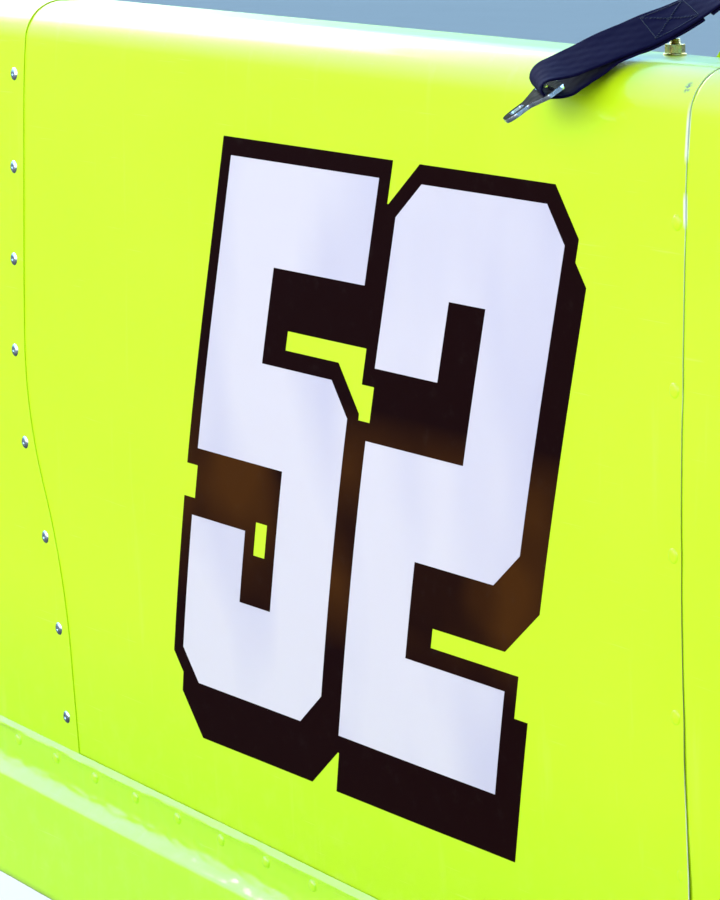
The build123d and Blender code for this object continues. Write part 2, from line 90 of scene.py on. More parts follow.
# Soft waves of the sheet: length along it, length up it, layer of the noise
WIDE_WAVES = (230.0, 330.0, 0.3)
SMALL_WAVES = (95.0, 140.0, 7.1)
WIDE_WAVE_H = 0.75
SMALL_WAVE_H = 0.16
SWELL_H = 0.75
SILL_SWELL_H = 0.15
SILL_CALM_W = 95.0
PULL_RADIUS = 15.0
PULL_DEPTH = 0.55

# Spring of the skin's rear edge: height, its waves up the edge, reach inward, top and fade
SPRING_H = 1.5
SPRING_WAVE_H = 0.5
SPRING_WAVE_U = 19.0
SPRING_REACH = 13.0
SPRING_TOP_U = 243.0
SPRING_FADE_U = 22.0

# Skirt
SKIRT_T = 3.0
SKIRT_MID_Z = SKIN_BOTTOM_Z + 52.5
SKIRT_DROOP = tan(radians(1.83))
SKIRT_LEDGE_DEG = 38.0
SKIRT_SEGMENTS = [
    (30.0,),
    (15.0, QUARTER_TURN - SKIRT_LEDGE_DEG + TUCK_DEG),
    (9.0,),
    (1.5, SKIRT_LEDGE_DEG - QUARTER_TURN),
    (87.0,),
    (11.0, -80.0),
    (8.0,),
]
SKIRT_STEPS = [2.6, 1.0, 1.5, 0.5, 6.0, 1.5, 2.0]
SKIRT_COLUMN_W = 5.0
SKIRT_BEAD = 1.7
SKIRT_BEAD_H = 4.3
SKIRT_BEAD_FADE = 3.0
SKIRT_BEAD_EDGE = 0.4
SKIRT_BEAD_US = [0.0, 0.3, 0.8, 1.5, 2.4, 3.5, 5.0, 7.0]
SKIRT_EVEN_FROM_U = 8.0
SKIRT_SLACK = 0.35
SKIRT_LONG_WAVES = (43.0, 70.0, 2.2)
SKIRT_RIPPLES = (13.0, 9.0, 5.2)
SKIRT_BEAD_WAVES = (34.0, 1.0, 4.4)
COVE_W = 8.0
SKIRT_PULL_RADIUS = 11.0
SKIRT_PULL_DEPTH = 0.45

# Sill bolt
BOLT_X = 368.0
RAIL = 19.0
RAIL_DEPTH = SILL_DEPTH - SILL_BEND_R - RAIL / 2
BOND = 0.3
BOLT_R = 4.0
WASHER_T = 1.5
NUT_H = 6.5
BOLT_STUB = 4.0
THREAD_PITCH = 1.25
THREAD_H = 0.55
THREAD_START = 0.5
THREAD_END = 1.5
HEAD_ACROSS = 13.0
HEAD_H = 5.3

# Rivets, paint chips and a dent
RIVET_HEAD_R = 5.6
SEAM_RIVET_H = 1.6
SKIRT_RIVET_H = 2.9
RIVET_FOOT = 0.6
SEAM_RIVET_X = 462.0
SEAM_RIVET_Z = [216.0, 99.5, -17.0, -133.5, -250.0]
FRONT_RIVET_BACK = 17.0
FRONT_RIVET_Z = [258.0, 175.0, 92.0, 9.0, -74.0, -157.0, -240.0, -323.0]
SKIRT_RIVET_DROP = 14.0
SKIRT_RIVET_PITCH = 71.7
SKIRT_RIVET_FIRST_X = -532.0
SKIRT_RIVET_COUNT = 15
SEAM_CHIP = (REAR_SEAM_X, 225.0)
SEAM_CHIP_R = 13.0
CHIP = (461.0, 308.0)
CHIP_R = 4.2
DENT = (424.0, -184.5)

# Number: lower left corner, lean, the plain block digits' height and pitch, outline and shadow
NUMBER_X = -223.0
NUMBER_Z = -241.6
NUMBER_LEAN = tan(radians(13.06))
DIGIT_H = 457.0
DIGIT_PITCH = 244.0
OUTLINE_W = 15.0
SHADOW = Vector((17.0, -34.0))
FILM_T = 0.15
BACKING_OUT = 0.1
DIGITS_OUT = 0.26
# Cuts across the film on each axis of its plane: first, last, spacing
FILM_CUTS = [(-60.0, 560.0), (-80.0, 500.0)]
FILM_CUT_STEP = 11.0
# Bubbles under the white film: place on the panel's side, radius, height
BUBBLES = [
    ((-178.0, -148.0), 9.0, 0.9),
    ((-158.0, -160.0), 7.0, 0.7),
    ((112.0, -176.0), 9.0, 0.8),
    ((128.0, -190.0), 7.0, 0.6),
]

# Slopes are taken over this length to either side
PROBE = 0.5


def ahead(angle):
    return Vector((sin(angle), cos(angle)))


def rightward(angle):
    return Vector((cos(angle), -sin(angle)))


class Profile:
    """Outline of lines and tangent arcs, addressed by its arc length."""

    def __init__(self, start, heading, segments):
        self.pieces = []
        point = Vector(start)
        angle = radians(heading)
        run = 0.0
        for segment in segments:
            if len(segment) == 1:
                bend = 0.0
                length = segment[0]
            else:
                turn = radians(segment[1])
                bend = copysign(1 / segment[0], turn)
                length = abs(segment[0] * turn)
            self.pieces.append((run, length, point, angle, bend))
            run += length
            point, angle = self.step(point, angle, bend, length)
        self.length = run

    @staticmethod
    def step(point, angle, bend, length):
        if bend == 0:
            return point + ahead(angle) * length, angle
        centre = point + rightward(angle) / bend
        end = angle + bend * length
        return centre - rightward(end) / bend, end

    def at(self, u):
        """Point and heading at arc length u."""
        run, _, point, angle, bend = next(piece for piece in reversed(self.pieces) if u >= piece[0])
        return self.step(point, angle, bend, u - run)

    def start(self, piece):
        return self.pieces[piece][0]

    def stations(self, steps):
        """Arc lengths along the profile, with a spacing for each piece."""
        values = [0.0]
        for (run, length, *_), step in zip(self.pieces, steps):
            count = max(1, round(length / step))
            values += [run + length * (i + 1) / count for i in range(count)]
        return values


def skin_profile():
    """Side profile of the skin's outer face, up from its foot."""
    tuck = radians(TUCK_DEG)
    start = (TUCK_R * (1 - cos(tuck)) + FLAT_H * tan(tuck), SKIN_BOTTOM_Z)
    upright = [
        (FLAT_H / cos(tuck),),
        (TUCK_R, TUCK_DEG),
        (DOOR_H,),
        (LEAN_R, LEAN_DEG),
        (ROLL_R, QUARTER_TURN - LEAN_DEG),
    ]
    bare = Profile(start, -TUCK_DEG, upright)
    roll_end = bare.at(bare.length)[0]
    rest = [(SILL_DEPTH - SILL_BEND_R - roll_end.x,), (SILL_BEND_R, QUARTER_TURN), (SILL_FLANGE_H,)]
    return Profile(start, -TUCK_DEG, upright + rest)


SKIN = skin_profile()
CREST_Z = SKIN.at(SKIN.start(SILL_BEND_PIECE))[0].y


def skin_u(z):
    """Arc length of the skin's outer surface at height z, up to the roll's end."""
    low = 0.0
    high = SKIN.start(SILL_PIECE)
    for _ in range(40):
        middle = (low + high) / 2
        if SKIN.at(middle)[0].y < z:
            low = middle
        else:
            high = middle
    return low


def bell(distance, width):
    """1 at no distance, fading to either side."""
    return exp(-((distance / width) ** 2))


def bump_at(x, u, centres, radius):
    """1 at each centre, fading around it."""
    return sum(exp(-((x - cx) ** 2 + (u - cu) ** 2) / radius**2) for cx, cu in centres)


def soft_noise(x, u, length, height, layer):
    """Smooth noise over a sheet, with waves of a length along it and a height up it."""
    return noise.noise(Vector((x / length, u / height, layer)))


SEAM_RIVETS = [(SEAM_RIVET_X, skin_u(z)) for z in SEAM_RIVET_Z]
PULLS = [*SEAM_RIVETS, (DENT[0], skin_u(DENT[1]))]
SKIRT_RIVETS = [
    (SKIRT_RIVET_FIRST_X + i * SKIRT_RIVET_PITCH, SKIRT_RIVET_DROP)
    for i in range(SKIRT_RIVET_COUNT)
]


def swell(x, u):
    """How far the sheet stands out of its drawn surface: soft waves, pulled in at rivets."""
    value = SWELL_H
    value += WIDE_WAVE_H * soft_noise(x, u, *WIDE_WAVES)
    value += SMALL_WAVE_H * soft_noise(x, u, *SMALL_WAVES)
    value -= PULL_DEPTH * bump_at(x, u, PULLS, PULL_RADIUS)
    edge = bell(SKIN.length - u, SILL_CALM_W)
    return value * (1 - edge) + SILL_SWELL_H * edge


def lift(x, u):
    """The skin's rear edge springs away from its strip low down, in waves between its rivets."""
    near = bell(REAR_SEAM_X - x, SPRING_REACH)
    low = 1 / (1 + exp((u - SPRING_TOP_U) / SPRING_FADE_U))
    return near * low * (SPRING_H + SPRING_WAVE_H * sin(u / SPRING_WAVE_U))


def surface(x, u, out):
    """Point of the panel's surface in millimetres, out from its drawn outer face."""
    point, angle = SKIN.at(u)
    depth, z = point - rightward(angle) * (out + swell(x, u))
    return Vector((x, depth - SKIN_DEPTH, z))


def frame_at(point, along, normal):
    """Matrix in metres at a point in millimetres, its X along a direction, its Z the normal."""
    basis = Matrix((along, normal.cross(along), normal)).transposed()
    return Matrix.Translation(point * MM) @ basis.to_4x4()


def surface_frame(x, u, out):
    """Matrix in metres whose Z leaves the panel's surface and whose X follows it rearward."""
    up = (surface(x, u + PROBE, 0) - surface(x, u - PROBE, 0)).normalized()
    along = (surface(x + PROBE, u, 0) - surface(x - PROBE, u, 0)).normalized()
    return frame_at(surface(x, u, out), along, along.cross(up).normalized())


# Mesh building
WELD_DISTANCE = 0.01


def placed(name, data):
    obj = bpy.data.objects.new(name, data)
    bpy.context.scene.collection.objects.link(obj)
    return obj


def add_object(name, points, faces, materials, indices=None, smooth_deg=35):
    """Mesh object from millimetre points, with sharp edges over an angle, riding on the panel."""
    mesh = bpy.data.meshes.new(name)
    mesh.from_pydata([point * MM for point in points], [], faces)
    for mat in materials:
        mesh.materials.append(mat)
    if indices:
        mesh.polygons.foreach_set("material_index", indices)
    turned = bmesh.new()
    turned.from_mesh(mesh)
    bmesh.ops.recalc_face_normals(turned, faces=turned.faces)
    turned.to_mesh(mesh)
    turned.free()
    mesh.shade_smooth()
    mesh.set_sharp_from_angle(angle=radians(smooth_deg))
    obj = placed(name, mesh)
    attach(obj, "panel")
    return obj


def soften(obj, width, angle=50):
    """Small rounded edges, which catch the light as real ones do."""
    weld = obj.modifiers.new("weld", "WELD")
    weld.merge_threshold = WELD_DISTANCE * MM
    bevel = obj.modifiers.new("edges", "BEVEL")
    bevel.width = width * MM
    bevel.segments = 2
    bevel.limit_method = "ANGLE"
    bevel.angle_limit = radians(angle)
    bevel.harden_normals = True


def closed_sheet(name, outer, inner, materials, rounding=SHEET_EDGE_R, bare_end=False):
    """Sheet between two grids of points of one shape, closed along its rims and rounded there.

    With bare_end the cut edge at the rows' ends has the last material.
    """
    rows = len(outer)
    columns = len(outer[0])
    points = [point for row in outer + inner for point in row]
    back = rows * columns
    faces = []
    indices = []
    for j in range(rows - 1):
        for i in range(columns - 1):
            a = j * columns + i
            quad = [a, a + 1, a + 1 + columns, a + columns]
            faces += [quad, [back + v for v in reversed(quad)]]
            indices += [0, 1]
    rim = list(range(columns))
    rim += [j * columns + columns - 1 for j in range(1, rows)]
    rim += [(rows - 1) * columns + i for i in range(columns - 2, -1, -1)]
    rim += [j * columns for j in range(rows - 2, 0, -1)]
    for place, (a, b) in enumerate(zip(rim, rim[1:] + rim[:1])):
        faces.append([b, a, back + a, back + b])
        at_end = bare_end and columns - 1 <= place < columns + rows - 2
        indices.append(len(materials) - 1 if at_end else 0)
    obj = add_object(name, points, faces, materials, indices)
    soften(obj, rounding)
    return obj


def spaced(start, end, step):
    count = max(1, round(abs(end - start) / step))
    return [start + (end - start) * i / count for i in range(count + 1)]


def ring_faces(rings, sides):
    """Faces of a closed shape whose points lie ring after ring, with sides points to a ring."""
    faces = []
    for row in range(0, (rings - 1) * sides, sides):
        for k in range(sides):
            k2 = (k + 1) % sides
            faces.append([row + k, row + k2, row + sides + k2, row + sides + k])
    faces.append([(rings - 1) * sides + k for k in range(sides)])
    faces.append(list(reversed(range(sides))))
    return faces


def lathe(rings, sides):
    """Points and faces of a turned shape from (radius, height) rings, closed at both ends."""
    points = []
    for radius, height in rings:
        for k in range(sides):
            a = 2 * pi * k / sides
            points.append(Vector((radius * cos(a), radius * sin(a), height)))
    return points, ring_faces(len(rings), sides)


def arrayed(name, part, frames, materials, smooth_deg=35):
    """One mesh of the same part at each frame."""
    points = []
    faces = []
    for matrix in frames:
        first = len(points)
        points += [(matrix @ (point * MM)) / MM for point in part[0]]
        faces += [[first + v for v in face] for face in part[1]]
    return add_object(name, points, faces, materials, smooth_deg=smooth_deg)


# Sheets
def front_seam_x(z):
    """Edge of the front strip, which bows and then sweeps rearward lower down."""
    bow_top = SEAM_BOW_Z + SEAM_BOW_H
    low_x = FRONT_SEAM_X - SEAM_BOW
    if z >= bow_top:
        return FRONT_SEAM_X
    if z >= SEAM_BOW_Z:
        return low_x + SEAM_BOW * (z - SEAM_BOW_Z) / SEAM_BOW_H
    sweep = radians(SEAM_SWEEP_DEG)
    first_h = SEAM_SWEEP_R * sin(sweep)
    first_x = low_x + SEAM_SWEEP_R * (1 - cos(sweep))
    down = SEAM_BOW_Z - z
    if down <= first_h:
        return low_x + SEAM_SWEEP_R - sqrt(SEAM_SWEEP_R**2 - down**2)
    foot_z = SEAM_BOW_Z - first_h - SEAM_RETURN_R * sin(sweep)
    foot_x = first_x + SEAM_RETURN_R * (1 - cos(sweep))
    if z <= foot_z:
        return foot_x
    return foot_x - SEAM_RETURN_R + sqrt(SEAM_RETURN_R**2 - (z - foot_z) ** 2)


def make_skin(paint, bare, edge):
    us = SKIN.stations(SKIN_STEPS)
    xs = spaced(FRONT_SEAM_X - LAP, SKIN_FINE_X, SKIN_COLUMN_W)[:-1]
    xs += spaced(SKIN_FINE_X, REAR_SEAM_X, SKIN_FINE_W)
    outer = [[surface(x, u, lift(x, u)) for x in xs] for u in us]
    inner = [[surface(x, u, lift(x, u) - SKIN_T) for x in xs] for u in us]
    obj = closed_sheet("skin_sheet", outer, inner, [paint, bare, edge], SKIN_EDGE_R, bare_end=True)
    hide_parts("door_skin")


def skirt_top_z(x):
    return SKIRT_MID_Z - x * SKIRT_DROOP


def front_strip_columns(z):
    """Values of x across the front strip at a height."""
    fine_x = front_seam_x(z) - FRONT_FINE_BACK
    wide = (fine_x - FRONT_END_X) / FRONT_COLUMNS
    fine = spaced(fine_x, front_seam_x(z), FRONT_FINE_W)
    return [FRONT_END_X + wide * i for i in range(FRONT_COLUMNS)] + fine


def make_front_strip(paint, bare):
    """Strip over the skin's front edge, whose lower edge follows the skirt's slope."""
    xs = front_strip_columns(SKIN_BOTTOM_Z)
    lows = [skin_u(skirt_top_z(x) + FRONT_FOOT_GAP) for x in xs]
    rows = []
    for part in FRONT_FOOT_ROWS:
        rows.append([(x, low + (FRONT_FOOT_U - low) * part) for x, low in zip(xs, lows)])
    for u in SKIN.stations(SKIN_STEPS):
        if u >= FRONT_FOOT_U:
            z = SKIN.at(u)[0].y if u < SKIN.start(SILL_PIECE) else CREST_Z
            rows.append([(x, u) for x in front_strip_columns(z)])
    outer = [[surface(x, u, LAP_GAP + STRIP_T) for x, u in row] for row in rows]
    inner = [[surface(x, u, LAP_GAP) for x, u in row] for row in rows]
    obj = closed_sheet("front_strip_sheet", outer, inner, [paint, bare])
    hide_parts("front_joint_strip")


def make_rear_strip(paint, bare):
    """Strip under the skin's rear edge, which steps up behind the seam to lie flush."""
    us = SKIN.stations(SKIN_STEPS)
    under = -(SKIN_T + LAP_GAP)
    step_x = REAR_SEAM_X + REAR_SEAM_GAP
    columns = [(x, under) for x in spaced(REAR_SEAM_X - LAP, step_x, REAR_COLUMN_W)]
    columns += [(step_x + STRIP_T * 0.9, -0.15), (step_x + STRIP_T * 1.3, 0.0)]
    columns += [(x, 0.0) for x in spaced(step_x + STRIP_T * 3, REAR_END_X, REAR_COLUMN_W)]
    outer = [[surface(x, u, out) for x, out in columns] for u in us]
    inner = [[surface(x, u, out - STRIP_T) for x, out in columns] for u in us]
    obj = closed_sheet("rear_strip_sheet", outer, inner, [paint, bare])
    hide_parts("rear_joint_strip")


def make_skirt(paint, dark):
    """Moulded skirt. Returns the function that gives its points, for the rivets."""
    path = Profile((0, 0), 2 * QUARTER_TURN - TUCK_DEG, SKIRT_SEGMENTS)
    us = SKIRT_BEAD_US + [u for u in path.stations(SKIRT_STEPS) if u > SKIRT_EVEN_FROM_U]
    xs = spaced(FRONT_END_X, REAR_END_X, SKIRT_COLUMN_W)
    cove_start, cove_length, *_ = path.pieces[1]
    cove_u = cove_start + cove_length * 0.4
    flat_u = SKIN.start(TUCK_PIECE)
    tuck = radians(TUCK_DEG)

    def slack(x, u):
        """Slack of the moulded sheet: the flange pulls in at its rivets and the cove ripples."""
        skin_place = (skirt_top_z(x) - SKIN_BOTTOM_Z) / cos(tuck) - u
        hold = swell(x, min(flat_u, max(0.0, skin_place)))
        ripple = 0.5 + 0.5 * soft_noise(x, u, *SKIRT_LONG_WAVES)
        ripple += 1.1 * soft_noise(x, u, *SKIRT_RIPPLES)
        uneven = ripple * (0.3 + 1.1 * bell(u - cove_u, COVE_W))
        pull = SKIRT_PULL_DEPTH * bump_at(x, u, SKIRT_RIVETS, SKIRT_PULL_RADIUS)
        return hold + SKIRT_SLACK + uneven - pull

    def place(x, u, out):
        """Point of the skirt in millimetres, out from its inner face."""
        point, angle = path.at(u)
        depth, z = point + rightward(angle) * out
        z += skirt_top_z(x)
        depth += SKIN.at(0)[0].x - (skirt_top_z(x) - SKIN_BOTTOM_Z) * tan(tuck) - LAP_GAP
        return Vector((x, depth - slack(x, u) - SKIN_DEPTH, z))

    def outer_face(x, u):
        """Thickness, with a bead of uneven height along the flange's top edge."""
        high = SKIRT_BEAD_H * (1 + 0.35 * soft_noise(x, 1.7, *SKIRT_BEAD_WAVES))
        crest = SKIRT_T + SKIRT_BEAD
        if u < high:
            return crest - (crest - SKIRT_BEAD_EDGE) * (1 - u / high)
        return SKIRT_T + SKIRT_BEAD * bell(u - high, SKIRT_BEAD_FADE)

    outer = [[place(x, u, outer_face(x, u)) for x in xs] for u in us]
    inner = [[place(x, u, 0) for x in xs] for u in us]
    obj = closed_sheet("skirt_moulding", outer, inner, [paint, dark])
    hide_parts("rocker_skirt")
    return place


# Rivets
def dome(height):
    """Painted rivet head: a low dome with a small step at its foot."""
    step_h = 0.32
    dome_r = RIVET_HEAD_R * 0.95
    rings = [(RIVET_HEAD_R, -RIVET_FOOT), (RIVET_HEAD_R, 0.15), (dome_r, step_h)]
    count = 6
    for i in range(1, count):
        a = (pi / 2) * i / count
        rings.append((dome_r * cos(a), step_h + (height - step_h) * sin(a)))
    rings.append((0.35, height))
    return lathe(rings, 24)


def pop_rivet():
    """Bare blind rivet: a dome with the sunk end of its mandrel."""
    rings = [(5.8, -RIVET_FOOT), (5.8, 0.2), (5.5, 0.55), (4.7, 1.05), (3.4, 1.5), (2.2, 1.68)]
    rings += [(1.6, 1.7), (1.45, 1.45), (1.3, 0.9), (1.15, 0.85), (0.9, 1.15), (0.3, 1.2)]
    return lathe(rings, 28)


def make_rivets(paint, bright):
    frames = [surface_frame(x, u, 0) for x, u in SEAM_RIVETS]
    rivets = arrayed("seam_rivets", dome(SEAM_RIVET_H), frames, [paint])
    frames = []
    for z in FRONT_RIVET_Z:
        x = front_seam_x(z) - FRONT_RIVET_BACK
        frames.append(surface_frame(x, skin_u(z), LAP_GAP + STRIP_T))
    rivets = arrayed("strip_rivets", pop_rivet(), frames, [bright])


def make_skirt_rivets(place, paint):
    """Painted rivets through the skirt's flange."""
    rearward = Vector((1, 0, 0))
    frames = []
    for x, u in SKIRT_RIVETS:
        up = (place(x, u - PROBE, SKIRT_T) - place(x, u + PROBE, SKIRT_T)).normalized()
        frames.append(frame_at(place(x, u, SKIRT_T), rearward, rearward.cross(up)))
    rivets = arrayed("skirt_rivets", dome(SKIRT_RIVET_H), frames, [paint])


# Number
FIVE = [
    (0, 457), (215, 457), (215, 372), (84, 372), (84, 292), (187, 292), (215, 264), (215, 28),
    (187, 0), (28, 0), (0, 28), (0, 148), (84, 148), (84, 85), (131, 85), (131, 207), (0, 207),
]


def flipped(polygon):
    """The same outline upside down."""
    return [(x, DIGIT_H - y) for x, y in reversed(polygon)]


def outset(polygon, width):
    """Outline moved outward, with mitred corners. The polygon runs clockwise."""
    result = []
    for i, corner in enumerate(polygon):
        here = Vector(corner)
        before = (here - Vector(polygon[i - 1])).normalized()
        after = (Vector(polygon[(i + 1) % len(polygon)]) - here).normalized()
        first = Vector((-before.y, before.x))
        second = Vector((-after.y, after.x))
        mitre = (first + second).normalized()
        result.append(here + mitre * (width / mitre.dot(first)))
    return result


def cut_film(polygons):
    """Plane mesh of the union of outlines, cut small so that it can follow the panel."""
    flat = bmesh.new()
    points = []
    loops = []
    for polygon in polygons:
        loops.append([len(points) + i for i in range(len(polygon))])
        points += [Vector(corner) for corner in reversed(polygon)]
    corners, _, areas, _, _, owners = delaunay_2d_cdt(points, [], loops, 0, 0.01)
    verts = [flat.verts.new((corner.x, corner.y, 0)) for corner in corners]
    for area, owner in zip(areas, owners):
        if owner:
            flat.faces.new([verts[v] for v in area])
    bmesh.ops.dissolve_limit(
        flat, angle_limit=0.01, verts=flat.verts, edges=flat.edges, use_dissolve_boundaries=False
    )
    for axis, (first, last) in enumerate(FILM_CUTS):
        normal = Vector((0, 0, 0))
        normal[axis] = 1
        for value in spaced(first, last, FILM_CUT_STEP):
            geom = flat.verts[:] + flat.edges[:] + flat.faces[:]
            spot = normal * value
            bmesh.ops.bisect_plane(flat, geom=geom, plane_co=spot, plane_no=normal, dist=0.001)
    flat.verts.index_update()
    return flat


def vinyl(name, polygons, mat, out, bubbles=()):
    """Film in the shape of the outlines' union, laid on the panel with bubbles under it."""
    flat = cut_film(polygons)

    def place(p, level):
        x = NUMBER_X + p.x + p.y * NUMBER_LEAN
        z = NUMBER_Z + p.y
        for centre, radius, height in bubbles:
            level += height * bump_at(x, z, [centre], radius)
        return surface(x, skin_u(z), level)

    top = [place(v.co, out + FILM_T) for v in flat.verts]
    under = [place(v.co, out) for v in flat.verts]
    faces = []
    for face in flat.faces:
        loop = [v.index for v in face.verts]
        faces += [loop, [len(top) + v for v in reversed(loop)]]
    for edge in flat.edges:
        if edge.is_boundary:
            a, b = (v.index for v in edge.verts)
            faces.append([a, b, len(top) + b, len(top) + a])
    flat.free()
    add_object(name, top + under, faces, [mat], smooth_deg=50)


def make_number(white, black):
    """Plain two-digit number: white block digits on a black outline and drop shadow."""
    digits = [FIVE, [(x + DIGIT_PITCH, y) for x, y in flipped(FIVE)]]
    edges = [outset(digit, OUTLINE_W) for digit in digits]
    dropped = [[corner + SHADOW for corner in edge] for edge in edges]
    vinyl("number_backing", edges + dropped, black, BACKING_OUT)
    vinyl("number_digits", digits, white, DIGITS_OUT, BUBBLES)


# Sill bolt and strap
def make_bolt(zinc):
    """Threaded stub of the sill bolt with its shank and head."""
    top = CREST_Z + WASHER_T + NUT_H + BOLT_STUB
    head_z = CREST_Z - SKIN_T - BOND - RAIL
    root_r = BOLT_R - THREAD_H
    z = CREST_Z + THREAD_START
    rings = [(BOLT_R, head_z), (BOLT_R, z)]
    while z < top - THREAD_END:
        end = z + THREAD_PITCH
        rings += [(root_r, z + 0.1), (BOLT_R, z + THREAD_PITCH / 2), (root_r, end - 0.05)]
        z = end
    rings += [(BOLT_R - 0.3, top - 0.7), (BOLT_R - 1.0, top)]
    points, faces = lathe(rings, 28)
    head_r = HEAD_ACROSS / sqrt(3)
    head = [(head_r * 0.94, -HEAD_H), (head_r, 0.5 - HEAD_H), (head_r, -0.5), (head_r * 0.97, 0)]
    head_points, head_faces = lathe([(radius, head_z + h) for radius, h in head], 6)
    faces += [[len(points) + v for v in face] for face in head_faces]
    points += head_points
    place = Matrix.Translation(Vector((BOLT_X, RAIL_DEPTH - SKIN_DEPTH, 0)) * MM)
    obj = arrayed("sill_bolt_threaded", (points, faces), [place], [zinc])
    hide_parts("sill_bolt")


# Strap, in the upright plane of its solid: run inward and height from the tongue's bar
STRAP_W = 50.0
STRAP_T = 2.0
STRAP_RUN_DEG = 27.4
TONGUE_BAR = Vector((341.0, -16.0 - SKIN_DEPTH, CREST_Z - 19.0))
TONGUE_NORMAL = (-0.2705, -0.5218, 0.809)
# Rows: run, height, roll in degrees that lowers the edge away from the car's nose. One ribbon
# starts at the sewn end of the lower strand, goes round the tongue's bar and over the sill,
# and ends sewn under itself behind the anchor's bar.
STRAP_ROWS = [
    (100, 51.2, 15), (90, 46.2, 17), (80, 41.3, 19), (64, 34.2, 21),
    (52, 29.2, 20), (40, 22.8, 18), (28, 13.4, 15.5), (21, 8.2, 14),
    (15, 3.6, 13), (9, -1.6, 9), (3, -4.9, 4.5), (-3, -6, 3),
    (-8.2, -5.4, 4), (-11.8, -2.5, 5), (-12.8, 2, 7), (-10.5, 6.3, 9),
    (-6, 9.3, 11), (0, 11.3, 13), (6, 13.2, 15), (12, 15.5, 17),
    (20, 19, 18), (28, 22.5, 19), (40, 27.5, 20), (52, 32.3, 21),
    (64, 37, 22), (80, 44, 20), (92, 49.8, 17), (104, 56, 13),
    (114, 61.2, 8), (123, 67, 3), (129, 71.4, 0), (135, 73.1, 0),
    (140, 71.2, 0), (141.6, 67, 0), (139.6, 62.6, 0), (134, 60.7, 0),
    (126, 61.8, 3), (116, 58.9, 7), (106, 54, 12),
]
STRAP_STEP = 2.0
# Section of the webbing from its middle to its edge, in parts of half its width and thickness
STRAP_SECTION = [
    (0, 0.88), (0.25, 0.88), (0.5, 0.9), (0.72, 0.92), (0.9, 1), (0.95, 0.95), (0.985, 0.6), (1, 0),
]
STRAP_SLACK_H = 0.5
STRAP_SLACK_WAVES = (9.0, 20.0, 3.7)
# Sewn box of the upper strand: its ends by their run, its sides and its cross rows
SEWN_RUNS = (66.0, 96.0)
SEWN_SIDE = 19.0
SEWN_ROW_SIDE = 17.0
STITCH_PITCH = 2.6
# Rings of one stitch: place along it, height, radius
STITCH_RINGS = [
    (-1.15, -0.55, 0.22),
    (-0.85, 0.02, 0.3),
    (-0.3, 0.26, 0.33),
    (0.3, 0.26, 0.33),
    (0.85, 0.02, 0.3),
    (1.15, -0.55, 0.22),
]


def smooth_rows(rows, step):
    """Rows at even spacing on a Catmull-Rom curve through the given rows."""
    dense = []
    padded = [rows[0], *rows, rows[-1]]
    for i in range(1, len(padded) - 2):
        before, here, after, beyond = (Vector(row) for row in padded[i - 1 : i + 3])
        for k in range(20):
            t = k / 20
            bend = (2 * before - 5 * here + 4 * after - beyond) * t**2
            twist = (3 * here - before - 3 * after + beyond) * t**3
            dense.append((2 * here + (after - before) * t + bend + twist) / 2)
    dense.append(Vector(rows[-1]))
    result = [dense[0]]
    gone = 0.0
    for one, other in zip(dense, dense[1:]):
        gone += (other - one).xy.length
        if gone >= step:
            result.append(other)
            gone -= step
    return result


class Ribbon:
    """The strap's middle line with its frames, to place its mesh and its stitches."""

    def __init__(self):
        run = radians(STRAP_RUN_DEG)
        self.inward = Vector((sin(run), cos(run), 0))
        self.across = Vector((cos(run), -sin(run), 0))
        self.rows = smooth_rows(STRAP_ROWS, STRAP_STEP)
        self.frames = [self.frame(i) for i in range(len(self.rows))]

    def point(self, row):
        return TONGUE_BAR + self.inward * row.x + Vector((0, 0, row.y))

    def frame(self, i):
        """Middle, direction along, direction across and outer normal at a station."""
        before = self.rows[max(0, i - 1)]
        after = self.rows[min(len(self.rows) - 1, i + 1)]
        along = (self.point(after) - self.point(before)).normalized()
        turn = Matrix.Rotation(radians(self.rows[i].z), 3, self.inward)
        across = turn @ self.across
        across = (across - along * across.dot(along)).normalized()
        return self.point(self.rows[i]), along, across, across.cross(along)

    def station(self, i, side, out):
        middle, _, across, normal = self.frames[i]
        return middle + across * side + normal * out


def make_strap(ribbon, web):
    """Harness webbing with rolled selvedges, and its place on the flat strap for the weave."""
    face = [(-side, out) for side, out in reversed(STRAP_SECTION[1:])] + STRAP_SECTION
    section = face + [(side, -out) for side, out in face[-2:0:-1]]
    points = []
    places = []
    for i in range(len(ribbon.frames)):
        for part, thick in section:
            side = part * STRAP_W / 2
            slack = STRAP_SLACK_H * soft_noise(i, side, *STRAP_SLACK_WAVES)
            points.append(ribbon.station(i, side, thick * STRAP_T / 2 + slack))
            places += [i * STRAP_STEP * MM, side * MM, 0.0]
    faces = ring_faces(len(ribbon.frames), len(section))
    obj = add_object("harness_webbing", points, faces, [web], smooth_deg=60)
    flat = obj.data.attributes.new("weave_place", "FLOAT_VECTOR", "POINT")
    flat.data.foreach_set("vector", places)
    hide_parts("harness_strap")


def stitch():
    """One lock stitch: a thread that dives in at both ends."""
    sides = 6
    points = []
    for x, rise, radius in STITCH_RINGS:
        for k in range(sides):
            a = 2 * pi * k / sides
            points.append(Vector((x, radius * cos(a), rise + radius * sin(a))))
    return points, ring_faces(len(STITCH_RINGS), sides)


